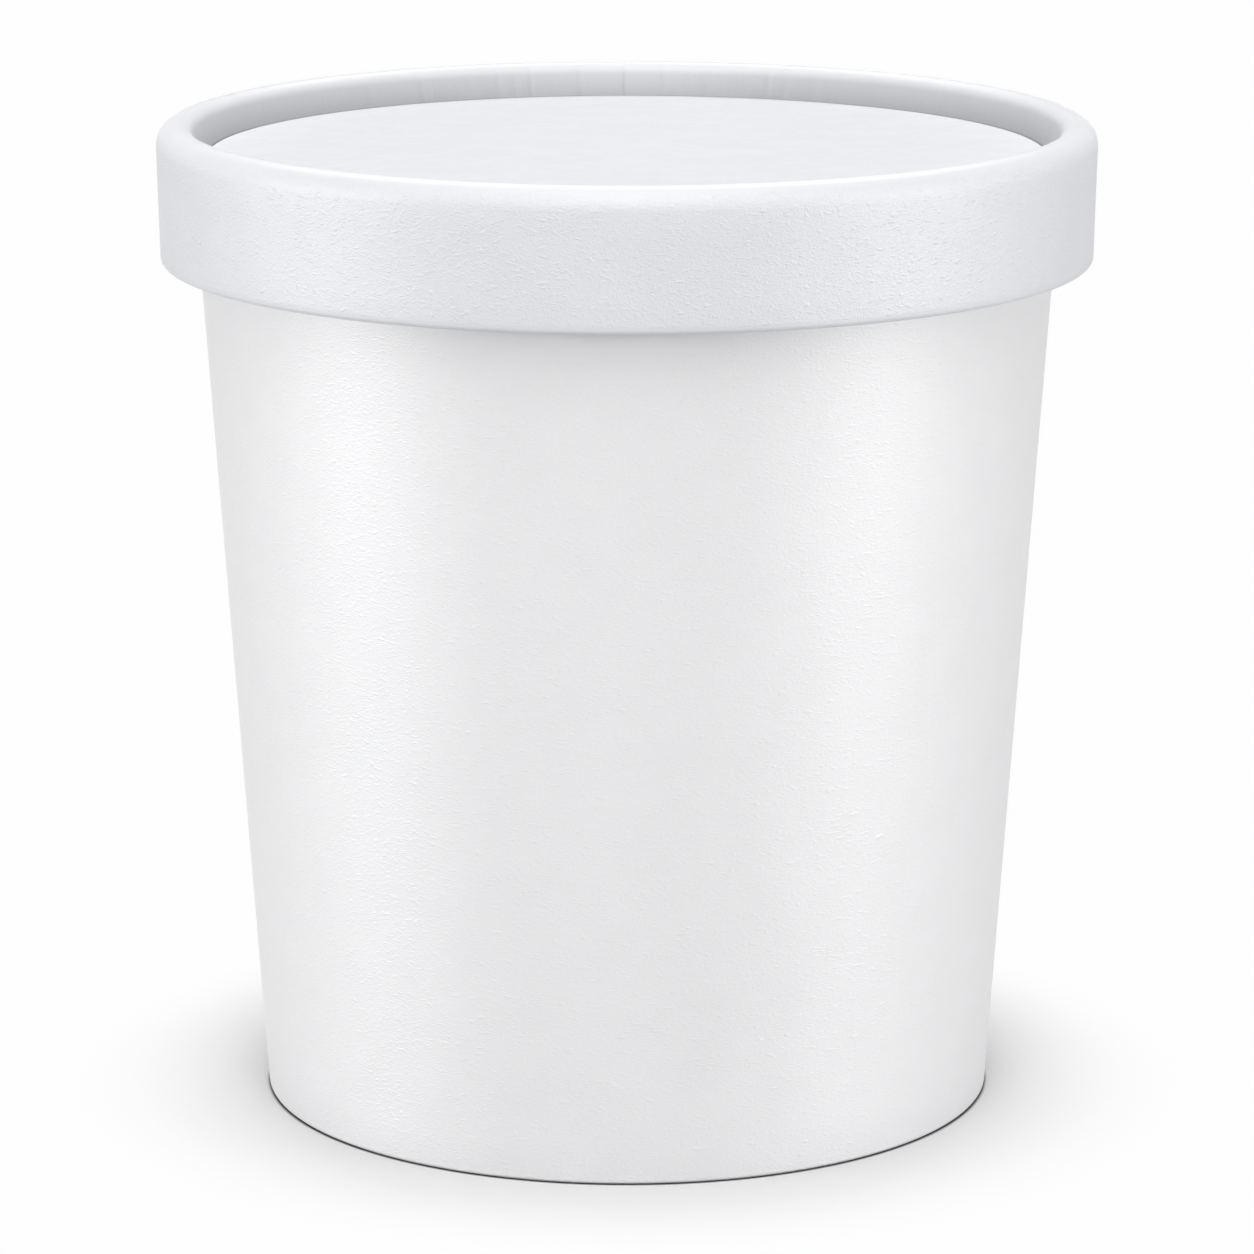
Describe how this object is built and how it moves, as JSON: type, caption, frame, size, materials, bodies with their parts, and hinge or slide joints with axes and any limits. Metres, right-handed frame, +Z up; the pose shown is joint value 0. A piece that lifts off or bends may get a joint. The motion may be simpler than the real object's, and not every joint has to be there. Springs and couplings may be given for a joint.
{
  "type": "paper food tub",
  "caption": "Plain white tapered paper food tub with a round paper lid pressed on, its flat disc set below a rolled rim.",
  "frame": {"origin": "centre of the foot ring, in the plane the tub stands on", "axes": "+Z up along the tub's axis, -Y to the front, +X to the right seen from the front; the lap seams of cup and lid are at the back, +Y"},
  "size_m": [0.099, 0.099, 0.1049],
  "materials": {
    "cup_paper": "satin coated white paper with a fine fibre grain",
    "base_board": "matt white paper board",
    "lid_band_paper": "satin coated cool white paper with a fine wormy emboss",
    "lid_disc_board": "satin coated cool white board with fine level fibres"
  },
  "bodies": {
    "root": {"cup": "cup_paper", "base_board": "base_board", "lid_band": "lid_band_paper", "lid_disc": "lid_disc_board"}
  },
  "joints": []
}
